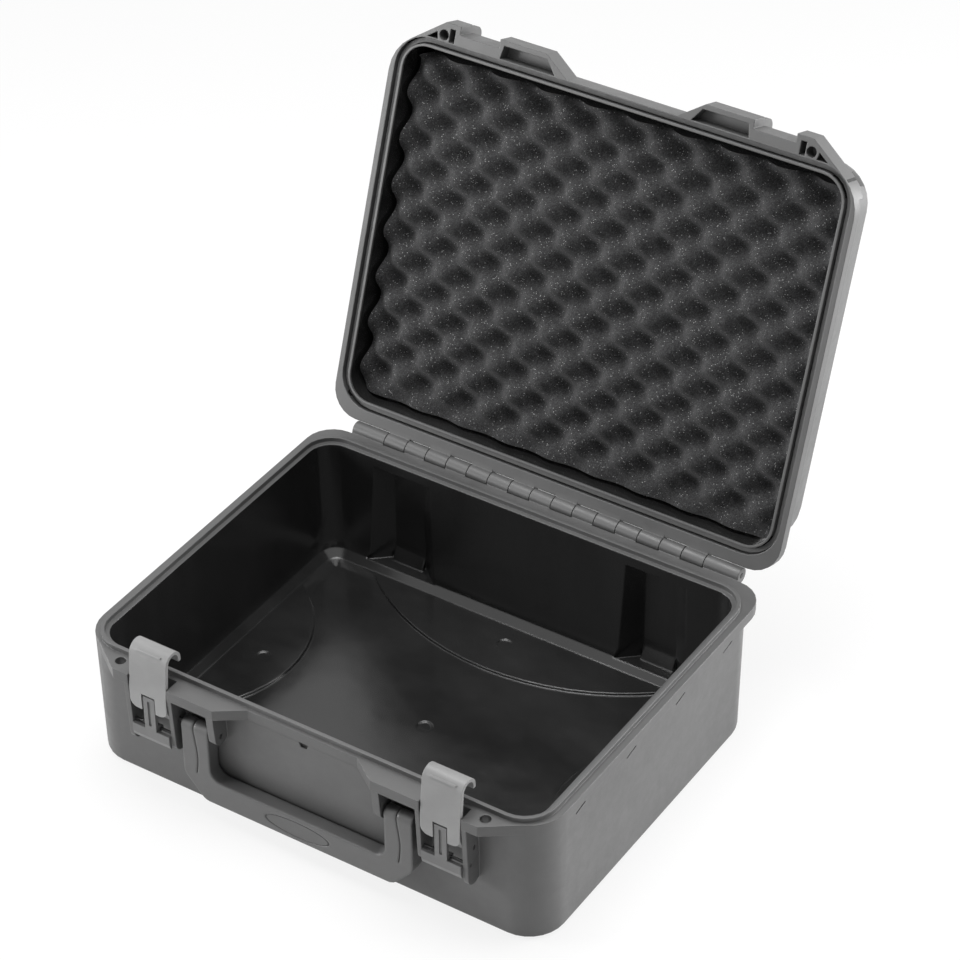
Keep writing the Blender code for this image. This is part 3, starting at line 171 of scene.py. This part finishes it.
def wall_plastic(name, light, dark, low_rough, high_rough, inside=None, edge=SHELL_EDGE):
    """Satin moulded plastic with a fine eroded grain; inside is a mask of its glossy parts, which also get a
    far darker tint as painted shade.
    """
    s = Shader(name)
    cloud = s.noise(CLOUD_SCALE, 3)
    grain = s.noise(GRAIN_SCALE, 2, 0.6)
    scuff = s.noise(SCUFF_SCALE, 4, 0.65)
    colour = s.mix(s.spread(cloud, 0.35, 0.65, 0, 1), dark, light)
    roughness = s.spread(scuff, 0.3, 0.7, low_rough, high_rough)
    height = s.spread(grain, 0.3, 0.7, 0, 1)
    if inside is None:
        normal = s.bump(height, GRAIN_DEPTH, 0.55, under=s.soft_edges(edge))
        return s.finish(colour, roughness, normal, Specular_IOR_Level=GLOSS)
    mask, shade_painted_gloss_dark, shade_painted_gloss_light = inside(s)
    streak = s.noise(9, 5, 0.6, s.vector_math("MULTIPLY", s.place, (1.0, 1.6, 0.35)))
    shade_painted_gloss_colour = s.mix(s.spread(streak, 0.3, 0.7, 0, 1), shade_painted_gloss_dark, shade_painted_gloss_light)
    gloss_rough = s.spread(streak, 0.35, 0.7, 0.13, 0.26)
    # Painted shade: the inside tint is several times darker than the outer walls of the same plastic; its
    # gloss, streaks and waves are real.
    colour = s.mix(mask, colour, shade_painted_gloss_colour)
    keep = s.math("SUBTRACT", 1.0, mask)
    roughness = s.math("ADD", s.math("MULTIPLY", roughness, keep), s.math("MULTIPLY", gloss_rough, mask))
    edges = s.soft_edges(s.spread(mask, 0, 1, edge, INSIDE_EDGE))
    grained = s.bump(s.math("MULTIPLY", height, keep), GRAIN_DEPTH, 0.55, under=edges)
    wave = s.math("MULTIPLY", s.noise(26, 2, 0.5), mask)
    wavy = s.bump(wave, INSIDE_WAVE_DEPTH, 0.35, under=grained)
    return s.finish(colour, roughness, wavy, Specular_IOR_Level=GLOSS)


def between(s, value, low, high):
    return s.math("MULTIPLY", s.math("GREATER_THAN", value, low), s.math("LESS_THAN", value, high))


def base_inside(s):
    """The cavity's faces: in the space of the cavity and its pockets, and facing inwards; they get a
    near-black tint of painted shade.
    """
    split = s.add("ShaderNodeSeparateXYZ")
    s.put(split.inputs[0], s.place)
    x, y, z = split.outputs
    half = s.math("LESS_THAN", s.math("ABSOLUTE", x), CAVITY_HALF_X)
    hollow = s.math("MULTIPLY", between(s, y, CAVITY_FRONT, CAVITY_BACK), s.math("LESS_THAN", z, CAVITY_TOP))
    pockets = s.math("MULTIPLY", between(s, y, CAVITY_FRONT, POCKET_BACK), s.math("LESS_THAN", z, POCKET_TOP))
    space = s.math("MULTIPLY", half, s.math("MAXIMUM", hollow, pockets))
    from_middle = s.vector_math("SUBTRACT", s.place, CAVITY_MIDDLE)
    texture = s.add("ShaderNodeTexCoord")
    facing = s.vector_math("DOT_PRODUCT", texture.outputs["Normal"], from_middle)
    mask = s.math("MULTIPLY", space, s.math("LESS_THAN", facing, 0.0))
    # Near-black tints of painted shade for the glossy cavity
    return mask, grey(0.012), grey(0.022)


def lid_inside(s):
    """The lid's hollow behind the foam, tinted near-black as painted shade."""
    split = s.add("ShaderNodeSeparateXYZ")
    closed = s.add("ShaderNodeVectorRotate", rotation_type="X_AXIS")
    s.put(closed.inputs["Vector"], s.place)
    s.put(closed.inputs["Center"], tuple(HINGE))
    s.put(closed.inputs["Angle"], OPEN_ANGLE)
    s.put(split.inputs[0], closed.outputs[0])
    x, y, z = split.outputs
    sides = s.math("LESS_THAN", s.math("ABSOLUTE", x), LID_HOLLOW_HALF_X)
    ends = s.math("LESS_THAN", s.math("ABSOLUTE", y), LID_HOLLOW_HALF_Y)
    depth = between(s, z, *LID_HOLLOW_Z)
    mask = s.math("MULTIPLY", s.math("MULTIPLY", sides, ends), depth)
    # Near-black tints of painted shade for the lid's hollow
    return mask, grey(0.010), grey(0.018)


def foam_material():
    """Open-cell foam: fine cells of uneven tone, with painted bright specks that stand in for glints where
    cell walls catch the light.
    """
    s = Shader("open_cell_foam")
    coarse = s.noise(380, 3, 0.7)
    cell = s.add("ShaderNodeTexVoronoi")
    s.put(cell.inputs["Vector"], s.place)
    cell.inputs["Scale"].default_value = FOAM_CELL_SCALE
    pick = s.add("ShaderNodeSeparateColor")
    s.put(pick.inputs[0], cell.outputs["Color"])
    per_cell = s.spread(pick.outputs[1], 0, 1, 0.55, 1.45)
    shade = s.math("MULTIPLY", per_cell, s.spread(coarse, 0.3, 0.7, 0.75, 1.25))
    tint = s.vector_math("SCALE", FOAM_TINT)
    s.put(tint.node.inputs["Scale"], shade)
    # Painted glints: a few cells get light or bright specks that stand in for highlights on the cell walls.
    near = s.math("LESS_THAN", cell.outputs["Distance"], 0.45)
    painted_glints = s.math("MULTIPLY", near, s.math("GREATER_THAN", pick.outputs[0], 0.962))
    faint_painted_glints = s.math("MULTIPLY", near, s.math("GREATER_THAN", pick.outputs[2], 0.90))
    colour = s.mix(s.math("MULTIPLY", faint_painted_glints, 0.35), tint, grey(0.16))
    colour = s.mix(painted_glints, colour, grey(0.34))
    height = s.math("ADD", s.math("MULTIPLY", cell.outputs["Distance"], 0.8), coarse)
    normal = s.bump(height, 0.0005, 0.8)
    return s.finish(colour, 0.95, normal, Specular_IOR_Level=0.2, Sheen_Weight=0.08, Sheen_Roughness=0.6)


def badge_material():
    """The oval plate: bare satin plastic with a dark line of painted shade round its edge."""
    s = Shader("badge_plastic")
    points = [vertex.co for vertex in nodes["handle_badge"].data.vertices]
    low, high = (Vector(end(point[k] for point in points) for k in range(3)) for end in (min, max))
    middle, half = (low + high) / 2, (high - low) / 2
    out = s.vector_math("SUBTRACT", s.place, tuple(middle))
    out = s.vector_math("MULTIPLY", out, (1 / half.x, 0.0, 1 / half.z))
    # Painted shade: a dark line round the badge's edge stands in for the shade in the groove around it.
    rim = s.math("GREATER_THAN", s.vector_math("LENGTH", out), BADGE_SHADE_LINE_FROM)
    colour = s.mix(s.spread(s.noise(CLOUD_SCALE, 3), 0.35, 0.65, 0, 1), grey(0.072), grey(0.086))
    colour = s.mix(rim, colour, grey(0.012))
    roughness = s.spread(s.noise(SCUFF_SCALE, 4, 0.65), 0.3, 0.7, 0.42, 0.52)
    normal = s.bump(s.noise(GRAIN_SCALE, 2, 0.6), GRAIN_DEPTH, 0.5)
    return s.finish(colour, roughness, normal, Specular_IOR_Level=GLOSS)


def latch_material(name, light, dark):
    """Harder, lighter plastic with a finer grain."""
    s = Shader(name)
    cloud = s.noise(30, 3)
    grain = s.noise(2200, 2, 0.6)
    colour = s.mix(s.spread(cloud, 0.35, 0.65, 0, 1), dark, light)
    roughness = s.spread(s.noise(160, 3, 0.6), 0.3, 0.7, 0.34, 0.46)
    return s.finish(colour, roughness, s.bump(grain, 0.00002, 0.45, under=s.soft_edges(LATCH_EDGE)))


def rubber_material():
    s = Shader("gasket_rubber")
    colour = s.mix(s.noise(60, 3), grey(0.115), grey(0.150))
    roughness = s.spread(s.noise(300, 2), 0.3, 0.7, 0.55, 0.72)
    return s.finish(colour, roughness, s.bump(s.noise(900, 2), 0.00004, 0.5))


def steel_material():
    """Steel with a dark oxide finish and fine drawing lines along it."""
    s = Shader("dark_steel")
    along = s.vector_math("MULTIPLY", s.place, (40.0, 900.0, 900.0))
    streak = s.noise(1.0, 3, 0.6, along)
    colour = s.mix(streak, grey(0.05), grey(0.085))
    return s.finish(colour, s.spread(streak, 0.3, 0.7, 0.34, 0.5), s.bump(streak, 0.00001, 0.4), Metallic=0.8)


SHELL = wall_plastic("base_plastic", grey(0.088), grey(0.074), 0.40, 0.54, base_inside)
LID = wall_plastic("lid_plastic", grey(0.088), grey(0.075), 0.38, 0.52, lid_inside)
HANDLE = wall_plastic("handle_plastic", grey(0.092), grey(0.080), 0.34, 0.46, edge=HANDLE_EDGE)
BADGE = badge_material()
LATCH = latch_material("latch_plastic_light", grey(0.275), grey(0.235))
LOCK = latch_material("lock_plastic", grey(0.150), grey(0.125))
RUBBER = rubber_material()
STEEL = steel_material()
FOAM = foam_material()


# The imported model's nodes: finishes, smooth shading and small bevels
SMOOTH_UNDER = math.radians(26)
SAME_POINT = 0.00001
FLAT_UNDER = math.radians(0.6)
BEVEL_OVER = math.radians(32.0)
BEVEL_STEPS = 2


def make_smoothing(limit):
    """A modifier tree that shades edges under the limit smoothly."""
    tree = bpy.data.node_groups.new("smooth_by_angle", "GeometryNodeTree")
    tree.interface.new_socket("Geometry", in_out="INPUT", socket_type="NodeSocketGeometry")
    tree.interface.new_socket("Geometry", in_out="OUTPUT", socket_type="NodeSocketGeometry")
    chain = [tree.nodes.new("NodeGroupInput"), tree.nodes.new("GeometryNodeMergeByDistance")]
    chain[1].inputs["Distance"].default_value = SAME_POINT
    angle = tree.nodes.new("GeometryNodeInputMeshEdgeAngle")
    below = tree.nodes.new("FunctionNodeCompare")
    below.operation = "LESS_THAN"
    below.inputs[1].default_value = limit
    tree.links.new(angle.outputs[0], below.inputs[0])
    for domain in ("FACE", "EDGE"):
        shade = tree.nodes.new("GeometryNodeSetShadeSmooth")
        shade.domain = domain
        chain.append(shade)
    tree.links.new(below.outputs[0], chain[-1].inputs["Shade Smooth"])
    chain.append(tree.nodes.new("NodeGroupOutput"))
    for before, after in zip(chain, chain[1:]):
        tree.links.new(before.outputs[0], after.inputs[0])
    return tree


SMOOTHING = make_smoothing(SMOOTH_UNDER)


def smooth(name):
    item = nodes[name]
    item.modifiers.new("smooth", "NODES").node_group = SMOOTHING
    even = item.modifiers.new("even", "WEIGHTED_NORMAL")
    even.keep_sharp = True
    even.weight = 100


def dress(name, material, edge=0.0):
    """Gives a node its finish and, with an edge, a small bevel of that width."""
    item = nodes[name]
    item.data.materials.clear()
    item.data.materials.append(material)
    if edge:
        weld = item.modifiers.new("weld", "WELD")
        weld.merge_threshold = SAME_POINT
        flat = item.modifiers.new("flat", "DECIMATE")
        flat.decimate_type = "DISSOLVE"
        flat.angle_limit = FLAT_UNDER
        bevel = item.modifiers.new("edges", "BEVEL")
        bevel.width = edge
        bevel.segments = BEVEL_STEPS
        bevel.limit_method = "ANGLE"
        bevel.angle_limit = BEVEL_OVER
        bevel.use_clamp_overlap = True
        bevel.harden_normals = True


def dress_all():
    dress("base_shell", SHELL)
    dress("lid_shell", LID)
    dress("lid_gasket", RUBBER, 0.0005)
    dress("handle", HANDLE)
    dress("handle_badge", BADGE, 0.0003)
    for side in ("left", "right"):
        dress("latch_hook_" + side, LATCH)
        dress("latch_lock_" + side, LOCK)
        for pin in ("latch_pin_", "lock_pin_", "handle_pin_", "hinge_pin_"):
            dress(pin + side, STEEL, 0.0003)
        dress("lock_spring_" + side, STEEL)
        smooth("latch_hook_" + side)
        smooth("latch_lock_" + side)
    for name in ("base_shell", "lid_shell", "handle"):
        smooth(name)


# Foam: wave, sheet size, and the calmer edge that reaches towards the hinge
PITCH_ACROSS = 0.041
PITCH_ALONG = 0.0385
SHIFT_ACROSS = -0.0089
SHIFT_ALONG = -0.01125
FOAM_HALF_X = 0.190
FOAM_HALF_Y = 0.140
FOAM_CORNER = 0.012
FOAM_PEAK = 0.0325
FOAM_WAVE = 0.015
HINGE_EDGE_FROM = 0.122
HINGE_EDGE_REACH = 0.0045
FOAM_STEP = 0.0024
FOAM_SIDE_ROWS = 4
CUT_UNEVENNESS = 0.0002
SHARP_OVER = math.radians(55)


def new_piece(name, mesh, body, material):
    item = bpy.data.objects.new(name, mesh)
    scene.collection.objects.link(item)
    mesh.materials.append(material)
    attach(item, body)
    return item


def on_lid(mesh):
    """Moves a mesh drawn with the lid closed to where the open lid has it."""
    mesh.transform(OPENED)
    return mesh


def foam_place(x, y):
    """Keeps a point of the sheet inside its rounded corners."""
    centre = Vector((math.copysign(FOAM_HALF_X - FOAM_CORNER, x),
                     math.copysign(FOAM_HALF_Y - FOAM_CORNER, y)))
    out = Vector((x, y)) - centre
    beyond = out.x * centre.x > 0 and out.y * centre.y > 0 and out.length > FOAM_CORNER
    return centre + out.normalized() * FOAM_CORNER if beyond else Vector((x, y))


def make_foam():
    """The egg-crate sheet: smooth peaks and valleys, cut square at its sides, with a slightly uneven cut."""
    rng = random.Random(7)
    across = round(2 * FOAM_HALF_X / FOAM_STEP)
    along = round(2 * FOAM_HALF_Y / FOAM_STEP)
    back = LID_INSIDE_TOP
    work = bmesh.new()
    grid = []
    for i in range(across + 1):
        column = []
        for j in range(along + 1):
            x = -FOAM_HALF_X + 2 * FOAM_HALF_X * i / across
            y = -FOAM_HALF_Y + 2 * FOAM_HALF_Y * j / along
            a = math.cos(2 * math.pi * (x - SHIFT_ACROSS) / PITCH_ACROSS)
            b = math.cos(2 * math.pi * (y - SHIFT_ALONG) / PITCH_ALONG)
            ripple = a * b
            rounded = ripple * (1.12 - 0.12 * ripple * ripple)
            near_hinge = min(1.0, max(0.0, (y - HINGE_EDGE_FROM) / (FOAM_HALF_Y - HINGE_EDGE_FROM)))
            calm = 1 - 0.75 * near_hinge * near_hinge
            z = back - FOAM_PEAK + FOAM_WAVE / 2 - FOAM_WAVE / 2 * rounded * calm
            z += rng.uniform(0, CUT_UNEVENNESS)
            place = foam_place(x, y)
            reach = HINGE_EDGE_REACH * near_hinge * near_hinge
            column.append(work.verts.new((place.x, place.y + reach, z)))
        grid.append(column)
    for i in range(across):
        for j in range(along):
            work.faces.new((grid[i][j], grid[i][j + 1], grid[i + 1][j + 1], grid[i + 1][j]))
    rim = [e for e in work.edges if e.is_boundary]
    for k in range(1, FOAM_SIDE_ROWS + 1):
        raised = bmesh.ops.extrude_edge_only(work, edges=rim)
        fresh = [v for v in raised["geom"] if isinstance(v, bmesh.types.BMVert)]
        for vertex in fresh:
            vertex.co.z += (back - vertex.co.z) / (FOAM_SIDE_ROWS + 1 - k)
        rim = [e for e in raised["geom"] if isinstance(e, bmesh.types.BMEdge) and e.is_boundary]
    bmesh.ops.contextual_create(work, geom=rim)
    bmesh.ops.recalc_face_normals(work, faces=work.faces)
    mesh = bpy.data.meshes.new("foam_sheet")
    work.to_mesh(mesh)
    work.free()
    mesh.shade_smooth()
    mesh.set_sharp_from_angle(angle=SHARP_OVER)
    foam = new_piece("foam_sheet", on_lid(mesh), "lid", FOAM)
    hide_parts("lid_foam")


# Camera, floor and light; the camera is fitted to the photo's straight edges
CAMERA_AZIMUTH = math.radians(33.27)
CAMERA_ELEVATION = math.radians(37.06)
CAMERA_ROLL = math.radians(-0.577)
CAMERA_PLACE = Vector((1.14735, -1.66704, 1.76935))
CAMERA_LENS = 130.303
FLOOR_REACH = 12.0
FLOOR_BELOW = 0.0005
FLOOR_WHITE_SHARE = 0.82
WORLD_FILL = 0.22


def make_camera():
    flat = math.cos(CAMERA_ELEVATION)
    back = Vector((math.sin(CAMERA_AZIMUTH) * flat, -math.cos(CAMERA_AZIMUTH) * flat,
                   math.sin(CAMERA_ELEVATION)))
    level = (-back).cross(Vector((0, 0, 1))).normalized()
    upright = level.cross(-back)
    right = level * math.cos(CAMERA_ROLL) + upright * math.sin(CAMERA_ROLL)
    up = upright * math.cos(CAMERA_ROLL) - level * math.sin(CAMERA_ROLL)
    data = bpy.data.cameras.new("camera")
    data.lens = CAMERA_LENS
    data.sensor_width = 36
    data.clip_start = 0.1
    data.clip_end = 100
    camera = bpy.data.objects.new("camera", data)
    scene.collection.objects.link(camera)
    place = Matrix((right, up, back)).transposed().to_4x4()
    place.translation = CAMERA_PLACE
    camera.matrix_world = place
    scene.camera = camera


def make_floor():
    """A pale floor that shows white and keeps a soft shadow."""
    material = bpy.data.materials.new("pale_floor")
    material.use_nodes = True
    tree = material.node_tree
    tree.nodes.clear()
    out = tree.nodes.new("ShaderNodeOutputMaterial")
    plain = tree.nodes.new("ShaderNodeBsdfDiffuse")
    plain.inputs["Color"].default_value = (0.9, 0.9, 0.9, 1)
    white = tree.nodes.new("ShaderNodeEmission")
    white.inputs["Strength"].default_value = 1.0
    path = tree.nodes.new("ShaderNodeLightPath")
    seen = tree.nodes.new("ShaderNodeMath")
    seen.operation = "MAXIMUM"
    tree.links.new(path.outputs["Is Camera Ray"], seen.inputs[0])
    tree.links.new(path.outputs["Is Glossy Ray"], seen.inputs[1])
    share = tree.nodes.new("ShaderNodeMath")
    share.operation = "MULTIPLY"
    share.inputs[1].default_value = FLOOR_WHITE_SHARE
    tree.links.new(seen.outputs[0], share.inputs[0])
    blend = tree.nodes.new("ShaderNodeMixShader")
    tree.links.new(share.outputs[0], blend.inputs[0])
    tree.links.new(plain.outputs[0], blend.inputs[1])
    tree.links.new(white.outputs[0], blend.inputs[2])
    tree.links.new(blend.outputs[0], out.inputs["Surface"])
    mesh = bpy.data.meshes.new("floor")
    corners = [(x * FLOOR_REACH, y * FLOOR_REACH, 0) for x, y in ((-1, -1), (1, -1), (1, 1), (-1, 1))]
    mesh.from_pydata(corners, [], [(0, 1, 2, 3)])
    mesh.materials.append(material)
    floor = bpy.data.objects.new("floor", mesh)
    scene.collection.objects.link(floor)
    floor.location.z = -FLOOR_BELOW


def make_world(fill):
    """White where the camera, a reflection or a see-through ray meets it, and a soft fill for the rest."""
    world = bpy.data.worlds.new("studio")
    scene.world = world
    world.use_nodes = True
    tree = world.node_tree
    back = tree.nodes["Background"]
    back.inputs["Color"].default_value = (1, 1, 1, 1)
    path = tree.nodes.new("ShaderNodeLightPath")
    first = tree.nodes.new("ShaderNodeMath")
    first.operation = "MAXIMUM"
    tree.links.new(path.outputs["Is Camera Ray"], first.inputs[0])
    tree.links.new(path.outputs["Is Glossy Ray"], first.inputs[1])
    second = tree.nodes.new("ShaderNodeMath")
    second.operation = "MAXIMUM"
    tree.links.new(first.outputs[0], second.inputs[0])
    tree.links.new(path.outputs["Is Transmission Ray"], second.inputs[1])
    strength = tree.nodes.new("ShaderNodeMapRange")
    tree.links.new(second.outputs[0], strength.inputs["Value"])
    strength.inputs["To Min"].default_value = fill
    strength.inputs["To Max"].default_value = 1.0
    tree.links.new(strength.outputs["Result"], back.inputs["Strength"])


def make_lamp(name, place, target, size, power):
    data = bpy.data.lights.new(name, "AREA")
    data.shape = "RECTANGLE"
    data.size, data.size_y = size
    data.energy = power
    lamp = bpy.data.objects.new(name, data)
    scene.collection.objects.link(lamp)
    lamp.location = place
    lamp.rotation_euler = (Vector(target) - Vector(place)).to_track_quat("-Z", "Y").to_euler()


dress_all()
make_foam()
make_camera()
make_floor()
make_world(WORLD_FILL)
make_lamp("right_back", (1.15, 0.95, 0.42), (0.15, 0.05, 0.1), (1.1, 0.7), 28)
make_lamp("left_front", (-1.35, -0.8, 0.45), (-0.2, -0.1, 0.1), (0.7, 0.6), 20)
make_lamp("top", (-0.15, 0.1, 1.9), (0, 0, 0.1), (1.1, 1.1), 30)

scene.view_settings.view_transform = "Standard"
